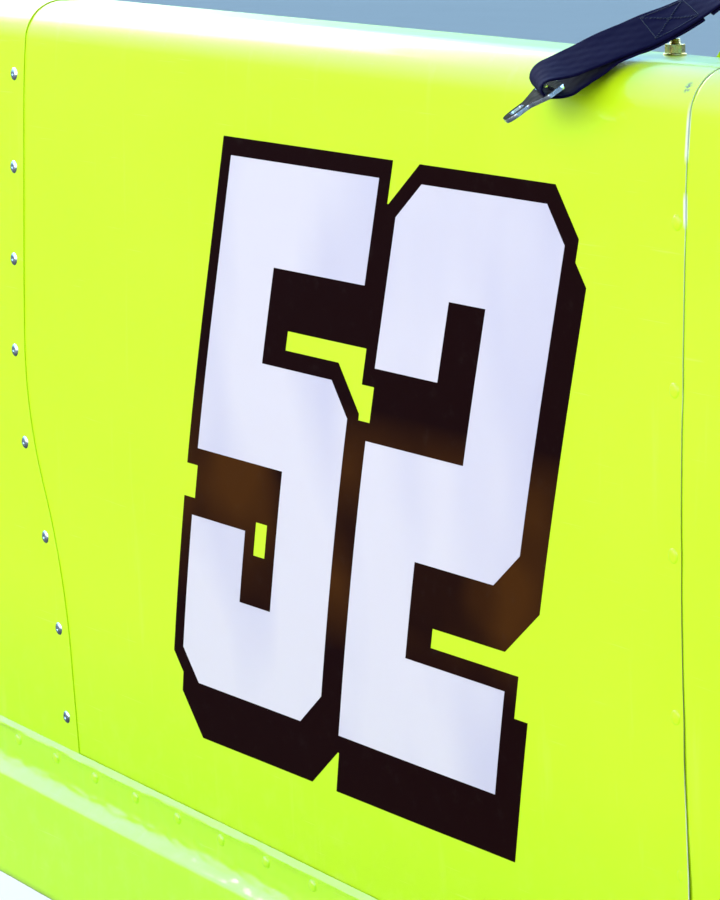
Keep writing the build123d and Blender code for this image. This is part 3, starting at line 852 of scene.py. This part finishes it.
def make_stitching(ribbon, thread):
    """Sewn box with crossed lines where the strap's two strands lie together."""
    upper = range(len(ribbon.rows) // 3 + 1, len(ribbon.rows))
    first, last = (next(i for i in upper if ribbon.rows[i].x > run) for run in SEWN_RUNS)
    stitches = []
    for i in range(first, last):
        slant = 2 * SEWN_SIDE * (i - first) / (last - first)
        for side in (-SEWN_SIDE, SEWN_SIDE, slant - SEWN_SIDE, SEWN_SIDE - slant):
            stitches.append((i, side, False))
    for side in spaced(-SEWN_ROW_SIDE, SEWN_ROW_SIDE, STITCH_PITCH):
        stitches += [(first, side, True), (last, side, True)]
    frames = []
    for i, side, lies_across in stitches:
        _, along, across, normal = ribbon.frames[i]
        long = across if lies_across else along
        frames.append(frame_at(ribbon.station(i, side, STRAP_T / 2), long, normal))
    obj = arrayed("strap_stitching", stitch(), frames, [thread], smooth_deg=80)


# Materials. Sockets of a Mix node share their names, so they go by their places.
MIX_FACTOR = 0
MIX_NUMBERS = (2, 3)
MIX_COLOURS = (6, 7)
MIX_NUMBER_OUT = 0
MIX_COLOUR_OUT = 2
# The denoiser's guide turns from mirror to matt near roughness 0.27. A film that crosses that
# value shows hard flecks, so its roughness starts above it.
FILM_ROUGHNESS = 0.285


def srgb(r, g, b):
    """Linear colour from the usual 0 to 255 values."""

    def linear(c):
        c /= 255
        return c / 12.92 if c <= 0.04045 else ((c + 0.055) / 1.055) ** 2.4

    return (linear(r), linear(g), linear(b), 1.0)


def feed(node, inputs):
    """Sets a node's inputs, by name or place, or links other nodes' outputs to them."""
    for key, value in inputs.items():
        if isinstance(value, bpy.types.NodeSocket):
            node.id_data.links.new(value, node.inputs[key])
        else:
            node.inputs[key].default_value = value


def add_node(tree, kind, inputs=None, operation=None):
    node = tree.nodes.new(kind)
    if operation:
        node.operation = operation
    feed(node, inputs or {})
    return node


def blend(tree, factor, one, other):
    """Mixes two colours, or two outputs that carry them."""
    node = tree.nodes.new("ShaderNodeMix")
    node.data_type = "RGBA"
    feed(node, {MIX_FACTOR: factor, MIX_COLOURS[0]: one, MIX_COLOURS[1]: other})
    return node.outputs[MIX_COLOUR_OUT]


class Look:
    """A node material: a Principled shader and short ways to add procedural inputs."""

    def __init__(self, name, colour, roughness, metallic=0.0, coat=0.0, coat_rough=0.1, ior=1.5):
        self.name = name
        self.mat = bpy.data.materials.new(name)
        self.mat.use_nodes = True
        self.tree = self.mat.node_tree
        self.shader = self.tree.nodes["Principled BSDF"]
        uniform = {"Base Color": colour, "Roughness": roughness, "Metallic": metallic, "IOR": ior}
        feed(self.shader, {**uniform, "Coat Weight": coat, "Coat Roughness": coat_rough})
        self.coords = self.add("ShaderNodeTexCoord").outputs["Object"]
        self.height = None

    def add(self, kind, inputs=None, operation=None):
        return add_node(self.tree, kind, inputs, operation)

    def link(self, out, socket):
        self.tree.links.new(out, self.shader.inputs[socket])

    def texture(self, kind, scale, stretch=(1, 1, 1), turn=(0, 0, 0)):
        """Texture over the look's coordinates, optionally stretched, and turned by degrees."""
        mapping = {"Vector": self.coords, "Scale": stretch, "Rotation": [radians(a) for a in turn]}
        mapped = self.add("ShaderNodeMapping", mapping).outputs["Vector"]
        return self.add(kind, {"Vector": mapped, "Scale": scale})

    def noise(self, scale, detail=3.0, rough=0.5, stretch=(1, 1, 1), turn=(0, 0, 0)):
        """Noise value, in features per metre."""
        node = self.texture("ShaderNodeTexNoise", scale, stretch, turn)
        feed(node, {"Detail": detail, "Roughness": rough})
        return node.outputs["Fac"]

    def cells(self, scale):
        """Distance to scattered points, in points per metre."""
        return self.texture("ShaderNodeTexVoronoi", scale).outputs["Distance"]

    def waves(self, scale, turn):
        """Parallel ridges, in radians per metre. The texture itself has 20 to a unit."""
        return self.texture("ShaderNodeTexWave", scale / 20, turn=turn).outputs["Fac"]

    def axis(self, name):
        """One coordinate, in metres."""
        return self.add("ShaderNodeSeparateXYZ", {"Vector": self.coords}).outputs[name]

    def output(self, value):
        """A node's output. A tuple stands for the noise with those arguments."""
        return self.noise(*value) if isinstance(value, tuple) else value

    def ramp(self, value, low, high, first=0.0, last=1.0):
        """Value mapped from one range to another, held at its ends."""
        limits = {"From Min": low, "From Max": high, "To Min": first, "To Max": last}
        inputs = {"Value": self.output(value), **limits}
        return self.add("ShaderNodeMapRange", inputs).outputs["Result"]

    def math(self, kind, one, other=0.0):
        return self.add("ShaderNodeMath", {0: one, 1: other}, kind).outputs[0]

    def both(self, one, other):
        return self.math("MULTIPLY", one, other)

    def reach(self):
        """Distance from the object's own middle."""
        return self.add("ShaderNodeVectorMath", {0: self.coords}, "LENGTH").outputs["Value"]

    def facing(self, direction, low, high):
        """0 where the cosine of a direction and the surface's normal is at low, 1 at high."""
        normal = self.add("ShaderNodeTexCoord").outputs["Normal"]
        dot = self.add("ShaderNodeVectorMath", {0: normal, 1: direction}, "DOT_PRODUCT")
        return self.ramp(self.math("ABSOLUTE", dot.outputs["Value"]), low, high)

    def spot(self, x, z, radius):
        """1 around a place on the panel's side, in millimetres, fading towards the radius."""
        across = self.math("SUBTRACT", self.axis("X"), x * MM)
        rise = self.math("SUBTRACT", self.axis("Z"), z * MM)
        across = self.both(across, across)
        rise = self.both(rise, rise)
        limit = (radius * MM) ** 2
        return self.ramp(self.math("ADD", across, rise), limit, limit / 4)

    def tint(self, mask, colour):
        """Blends the base colour towards another colour where the mask is 1."""
        base = self.shader.inputs["Base Color"]
        under = base.links[0].from_socket if base.is_linked else base.default_value
        self.link(blend(self.tree, mask, under, colour), "Base Color")

    def stain(self, value, low, high, amount, colour):
        """Blends in a colour, up to an amount, as a value goes from low to high."""
        self.tint(self.ramp(value, low, high, 0, amount), colour)

    def roughen(self, value, low, high):
        """Roughness between two limits, as a noise goes over the middle of its range."""
        self.link(self.ramp(value, 0.3, 0.7, low, high), "Roughness")

    def bump(self, value, height_mm):
        """Relief whose full range is height_mm, added to what is there already."""
        inputs = {"Distance": height_mm * MM, "Height": self.output(value)}
        if self.height:
            inputs["Normal"] = self.height
        self.height = self.add("ShaderNodeBump", inputs).outputs["Normal"]
        self.link(self.height, "Normal")


def panel_paint(name, colour, faded, deep, dusty, scuffs, coat):
    """Single-stage race paint: slight fading, a tint towards the deep colour low down (on the body a
    painted shade), road dust low down, fine scratches and chips.
    """
    look = Look(name, colour, 0.34, coat=coat, coat_rough=0.08, ior=1.36)
    look.stain((3.1, 2), 0.35, 0.7, 0.55, faded)
    # Towards the bottom the colour blends towards deep: on the body a painted shade, darker low
    # down; on the skirt a paler tint
    low = look.ramp(look.axis("Z"), -0.2, -0.42)
    look.tint(look.both(low, 0.8), deep)
    dust = look.both(look.ramp((38, 6, 0.65), 0.5, 0.75), 0.25)
    look.tint(look.both(low, dust), dusty)
    look.stain((60, 4, 0.6, (1, 1, 0.06)), 0.6, 0.8, 0.25, dusty)
    look.stain((420, 2, 0.5, (0.03, 1, 1), (0, 24, 0)), 0.70, 0.76, scuffs, dusty)
    chip = look.ramp(look.cells(31), 0.035, 0.02, 0, 0.75)
    few = look.ramp((9, 1), 0.6, 0.66)
    look.tint(look.both(chip, few), srgb(120, 132, 70))
    look.roughen((24, 5, 0.6), 0.3, 0.38)
    look.bump((620, 2), 0.03)
    return look


def make_paints():
    """Body paint, white along the rear seam near the roll as chipped paint and a painted highlight,
    and the skirt's paint.
    """
    body = panel_paint(
        "body_paint",
        colour=srgb(206, 247, 20),
        faded=srgb(213, 250, 36),
        # Painted shade: the body's paint turns to this darker colour towards the bottom
        deep=srgb(176, 228, 0),
        dusty=srgb(222, 248, 110),
        scuffs=0.3,
        coat=0.25,
    )
    # White along the rear seam, only high up: chipped paint, and a painted highlight where the seam
    # catches the light
    seam = body.math("ABSOLUTE", body.math("SUBTRACT", body.axis("X"), REAR_SEAM_X * MM))
    near = body.ramp(seam, 0.0014, 0.0026, 1, 0)
    high = body.ramp(body.axis("Z"), 0.24, 0.26)
    below_crest = body.ramp(body.axis("Z"), 0.285, 0.3, 1, 0)
    chips_and_highlight = body.ramp((24, 5), 0.44, 0.56, 0, 0.85)
    chips_and_highlight = body.both(body.both(chips_and_highlight, high), below_crest)
    chips_and_highlight = body.math("MAXIMUM", chips_and_highlight, body.spot(*SEAM_CHIP, SEAM_CHIP_R))
    body.tint(body.both(chips_and_highlight, near), srgb(236, 246, 226))
    ragged = body.ramp((420, 3), 0.42, 0.5)
    body.tint(body.both(body.spot(*CHIP, CHIP_R), ragged), srgb(104, 128, 70))

    skirt = panel_paint(
        "skirt_paint",
        colour=srgb(186, 241, 18),
        faded=srgb(194, 245, 34),
        deep=srgb(190, 243, 50),
        dusty=srgb(206, 244, 110),
        scuffs=0.5,
        coat=0.8,
    )
    return [body, skirt]


def make_backs():
    """Backs of the sheets, the skin's cut rear edge with painted light and shade along it, and the
    back of the skirt.
    """
    bare = Look("sheet_back", srgb(176, 178, 180), 0.42, metallic=0.85)
    bare.stain((14, 5), 0.5, 0.75, 0.6, srgb(140, 148, 96))
    bare.roughen((90, 3, 0.5, (0.1, 1, 1)), 0.34, 0.55)
    bare.bump((900, 2, 0.5, (0.05, 1, 1)), 0.02)

    # Painted light and shade along the cut edge, by height: olive paint in shade, light grey with
    # worn white patches high up as a painted highlight where the top catches the light, dark grey
    # lower down, near white where the foot catches the light
    edge = Look("cut_edge", srgb(150, 160, 40), 0.5)
    high = edge.ramp(edge.axis("Z"), 0.0, 0.22)
    edge.tint(high, srgb(206, 214, 226))
    worn = edge.ramp((36, 4), 0.5, 0.62, 0, 0.8)
    edge.tint(edge.both(high, worn), srgb(236, 244, 250))
    edge.stain(edge.axis("Z"), -0.02, -0.1, 0.7, srgb(128, 128, 118))
    edge.stain(edge.axis("Z"), -0.165, -0.2, 1, srgb(246, 242, 255))

    dark = Look("moulding_back", srgb(52, 54, 50), 0.6)
    dark.stain((22, 5), 0.5, 0.8, 0.5, srgb(104, 100, 84))
    dark.bump((700, 3), 0.05)
    return [bare, edge, dark]


def make_metals():
    """Frame, ribs, stays, bolt, rivets and anchor, and the tongue."""
    coat = Look("frame_coat", srgb(40, 42, 45), 0.42, coat=0.15, coat_rough=0.3)
    coat.stain((26, 6), 0.52, 0.8, 0.45, srgb(112, 104, 92))
    coat.stain((240, 2), 0.72, 0.78, 0.6, srgb(150, 152, 154))
    coat.roughen((60, 4), 0.36, 0.55)
    coat.bump((1100, 2), 0.04)

    rib = Look("rib_sheet", srgb(188, 190, 192), 0.36, metallic=0.9)
    rib.stain((18, 5), 0.5, 0.8, 0.4, srgb(146, 148, 150))
    rib.roughen((140, 3, 0.5, (1, 1, 0.06)), 0.28, 0.5)
    rib.bump((900, 2, 0.5, (1, 1, 0.04)), 0.025)

    stay = Look("stay_steel", srgb(150, 152, 152), 0.4, metallic=0.9)
    stay.stain((40, 6), 0.52, 0.8, 0.5, srgb(120, 104, 88))
    stay.roughen((70, 4), 0.34, 0.55)
    stay.bump((800, 3), 0.03)

    zinc = Look("yellow_zinc", srgb(206, 174, 96), 0.3, metallic=0.95)
    zinc.stain((260, 3), 0.4, 0.65, 0.6, srgb(176, 190, 132))
    zinc.stain((190, 3, 0.5, (1, 1, 1), (40, 0, 0)), 0.52, 0.7, 0.5, srgb(196, 132, 96))
    zinc.roughen((500, 3), 0.22, 0.4)
    zinc.bump((1500, 2), 0.02)

    plate = Look("bright_plate", srgb(206, 208, 210), 0.16, metallic=1.0)
    plate.stain((90, 5), 0.55, 0.8, 0.5, srgb(150, 146, 140))
    plate.roughen((160, 4), 0.12, 0.32)
    plate.bump((600, 2, 0.5, (1, 0.1, 1)), 0.015)

    hook = Look("hook_plate", srgb(40, 41, 46), 0.3, ior=1.01)
    hook.stain((120, 5), 0.45, 0.75, 0.6, srgb(74, 76, 80))
    worn = hook.facing(TONGUE_NORMAL, 0.9, 0.8)
    hook.tint(worn, srgb(226, 229, 233))
    hook.link(worn, "Metallic")
    hook.roughen((160, 4), 0.18, 0.36)
    hook.bump((600, 2), 0.015)
    return [coat, rib, stay, zinc, plate, hook]


def make_strap_looks():
    """Webbing, whose weave follows its place on the flat strap, and the thread of its stitches."""
    web = Look("webbing", srgb(13, 10, 42), 0.8)
    feed(web.shader, {"Specular IOR Level": 0.03})
    place = web.add("ShaderNodeAttribute")
    place.attribute_name = "weave_place"
    web.coords = place.outputs["Vector"]
    web.stain((45, 4), 0.45, 0.8, 0.5, srgb(19, 15, 50))
    web.stain((380, 3, 0.6), 0.62, 0.8, 0.4, srgb(42, 40, 66))
    web.bump(web.waves(620, (0, 0, 62)), 0.12)
    web.bump(web.waves(620, (0, 0, -62)), 0.08)
    web.bump((2600, 2), 0.05)

    thread = Look("thread", srgb(16, 14, 36), 0.6)
    feed(thread.shader, {"Specular IOR Level": 0.2})
    thread.bump((2200, 2), 0.08)
    return [web, thread]


def make_films():
    """White film, slightly crumpled low down, and black film with a painted brown reflection at mid
    height.
    """
    white = Look("vinyl_white", srgb(223, 218, 231), 0.25, coat=0.4, coat_rough=0.08)
    white.stain((9, 1.5, 0.5, (1, 1, 0.4)), 0.42, 0.66, 0.9, srgb(203, 200, 224))
    white.roughen((30, 2), FILM_ROUGHNESS, 0.32)
    low = white.ramp(white.axis("Z"), 0.02, -0.06)
    crumpled = white.both(low, white.ramp((9, 1), 0.56, 0.68))
    crease = white.noise(44, 1, 0.5, (1, 1, 0.5), (0, 30, 0))
    white.bump(white.both(crumpled, crease), 0.45)

    black = Look("vinyl_black", srgb(25, 8, 9), 0.24, ior=1.06)
    # Painted reflection: brown at mid height, uneven across the film
    below_top = black.ramp(black.axis("Z"), 0.035, -0.02)
    above_foot = black.ramp(black.axis("Z"), -0.17, -0.11)
    middle = black.both(below_top, above_foot)
    uneven = black.ramp((6, 2), 0.38, 0.56, 0.1, 0.9)
    black.tint(black.both(middle, uneven), srgb(72, 40, 12))
    black.stain((60, 6, 0.65), 0.58, 0.85, 0.15, srgb(70, 62, 58))
    black.roughen((30, 4), FILM_ROUGHNESS, 0.4)
    black.bump((240, 3), 0.02)
    return [white, black]


def make_materials():
    groups = [make_paints(), make_backs(), make_metals(), make_strap_looks(), make_films()]
    return {look.name: look.mat for group in groups for look in group}


# Solids that show as they are, by their material
PLAIN_NODES = {
    "body_paint": ["window_post_base"],
    "frame_coat": ["sill_rail", "upper_rail", "lower_rail", "bottom_rail"]
    + [f"standoff_{i}" for i in (1, 2, 3, 4)],
    "rib_sheet": [f"rib_{i}" for i in (1, 2, 3, 4)],
    "stay_steel": [f"skirt_stay_{i}" for i in (1, 2, 3)],
    "yellow_zinc": ["sill_nut"],
    "hook_plate": ["strap_tongue"],
    "bright_plate": ["strap_anchor"],
}


def dress_nodes(frame, looks):
    """Small rounded edges and node materials on the solids that show as they are."""
    for look, names in PLAIN_NODES.items():
        for name in names:
            obj = frame["nodes"][name]
            obj.data.materials.clear()
            obj.data.materials.append(looks[look])
            soften(obj, SOLID_EDGE_R, 40)


# Stage, in metres. Lights: name, place, target, width and height, power in watts
LIGHTS = [
    ("front", (0.2, -4.2, 1.2), (0.0, -0.2, 0.0), (8.0, 3.0), 198),
    ("back", (-0.3, 3.2, 1.8), (0.0, 0.0, 0.0), (3.0, 2.0), 45),
    ("gleam", (-1.5, 0.04, 1.0), (-0.2, -0.15, 0.34), (1.15, 0.7), 24),
]
# Sky on matt surfaces, then mirrored: colour; height of its top, strength low down and there
SKY_COLOURS = [(0.78, 0.90, 1.0, 1.0), (0.32, 0.64, 1.0, 1.0)]
SKY_STRENGTHS = [(0.7, 0.8, 0.08), (0.36, 0.35, 4.4)]
# The floor is dark in mirrors near the panel and paler further off
FLOOR_Z = -0.5395
FLOOR_HALF = 30.0
FLOOR_COLOUR = (0.80, 0.80, 0.79, 1.0)
FLOOR_PATCHES = (0.75, 0.75, 0.74, 1.0)
MIRRORED_NEAR = (0.015, 0.008, 0.005, 1.0)
MIRRORED_FAR = (0.2, 0.16, 0.14, 1.0)
# Camera, as worked out from the level and upright lines of the panel: lens and sensor in mm
LENS = 150
SENSOR_W = 36
CAMERA_PLACE = (2.4688, -1.7972, 0.5118)
CAMERA_SIDE = (0.55423, 0.83236, 0.0)
CAMERA_UP = (-0.14555, 0.09691, 0.98459)
CAMERA_BACK = (0.81954, -0.54569, 0.17486)


def add_area(name, place, target, size, power):
    light = bpy.data.lights.new(name, "AREA")
    light.shape = "RECTANGLE"
    light.size = size[0]
    light.size_y = size[1]
    light.energy = power
    obj = placed(name, light)
    obj.visible_camera = False
    look = Vector(target) - Vector(place)
    obj.matrix_world = Matrix.Translation(place) @ look.to_track_quat("-Z", "Y").to_matrix().to_4x4()


def make_sky():
    """Light from all around: on matt surfaces strongest low down, mirrored strongest high up."""
    world = bpy.data.worlds.new("sky")
    world.use_nodes = True
    tree = world.node_tree
    coords = add_node(tree, "ShaderNodeTexCoord").outputs["Generated"]
    rise = add_node(tree, "ShaderNodeSeparateXYZ", {"Vector": coords}).outputs["Z"]
    mirrored = add_node(tree, "ShaderNodeLightPath").outputs["Is Glossy Ray"]
    colour = blend(tree, mirrored, *SKY_COLOURS)
    strength = add_node(tree, "ShaderNodeMix", {MIX_FACTOR: mirrored})
    for socket, (top, level, zenith) in zip(MIX_NUMBERS, SKY_STRENGTHS):
        limits = {"From Max": top, "To Min": level, "To Max": zenith}
        ramp = add_node(tree, "ShaderNodeMapRange", {"Value": rise, **limits})
        feed(strength, {socket: ramp.outputs["Result"]})
    inputs = {"Color": colour, "Strength": strength.outputs[MIX_NUMBER_OUT]}
    feed(tree.nodes["Background"], inputs)
    return world


def make_floor():
    """Wide pale floor, which mirrors darker than it looks."""
    ground = Look("floor", FLOOR_COLOUR, 0.7)
    ground.stain((3, 4), 0.3, 0.7, 0.4, FLOOR_PATCHES)
    mirrored = ground.add("ShaderNodeLightPath").outputs["Is Glossy Ray"]
    ground.tint(mirrored, MIRRORED_NEAR)
    away = ground.ramp(ground.reach(), 0.7, 4.5)
    ground.tint(ground.both(mirrored, away), MIRRORED_FAR)
    mesh = bpy.data.meshes.new("floor")
    signs = [(-1, -1), (1, -1), (1, 1), (-1, 1)]
    corners = [(FLOOR_HALF * x, FLOOR_HALF * y, 0) for x, y in signs]
    mesh.from_pydata(corners, [], [[0, 1, 2, 3]])
    mesh.materials.append(ground.mat)
    floor = placed("floor", mesh)
    floor.location = (0, 0, FLOOR_Z)


def make_stage():
    scene = bpy.context.scene
    scene.view_settings.view_transform = "Standard"
    scene.world = make_sky()
    make_floor()
    for light in LIGHTS:
        add_area(*light)


def make_camera():
    camera = bpy.data.cameras.new("camera")
    camera.lens = LENS
    camera.sensor_width = SENSOR_W
    camera.clip_end = 200
    obj = placed("camera", camera)
    basis = Matrix((CAMERA_SIDE, CAMERA_UP, CAMERA_BACK)).transposed().to_4x4()
    obj.matrix_world = Matrix.Translation(CAMERA_PLACE) @ basis
    bpy.context.scene.camera = obj


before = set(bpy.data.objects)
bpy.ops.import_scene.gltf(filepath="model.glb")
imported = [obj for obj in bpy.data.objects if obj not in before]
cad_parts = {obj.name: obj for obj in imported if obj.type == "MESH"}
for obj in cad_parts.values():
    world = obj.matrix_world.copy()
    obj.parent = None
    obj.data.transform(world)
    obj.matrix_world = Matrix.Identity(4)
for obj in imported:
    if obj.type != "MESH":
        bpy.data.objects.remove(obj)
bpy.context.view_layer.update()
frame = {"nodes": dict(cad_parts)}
make_camera()
make_stage()
looks = make_materials()
dress_nodes(frame, looks)
make_skin(looks["body_paint"], looks["sheet_back"], looks["cut_edge"])
make_front_strip(looks["body_paint"], looks["sheet_back"])
make_rear_strip(looks["body_paint"], looks["sheet_back"])
skirt_place = make_skirt(looks["skirt_paint"], looks["moulding_back"])
make_rivets(looks["body_paint"], looks["bright_plate"])
make_skirt_rivets(skirt_place, looks["skirt_paint"])
make_number(looks["vinyl_white"], looks["vinyl_black"])
make_bolt(looks["yellow_zinc"])
ribbon = Ribbon()
make_strap(ribbon, looks["webbing"])
make_stitching(ribbon, looks["thread"])
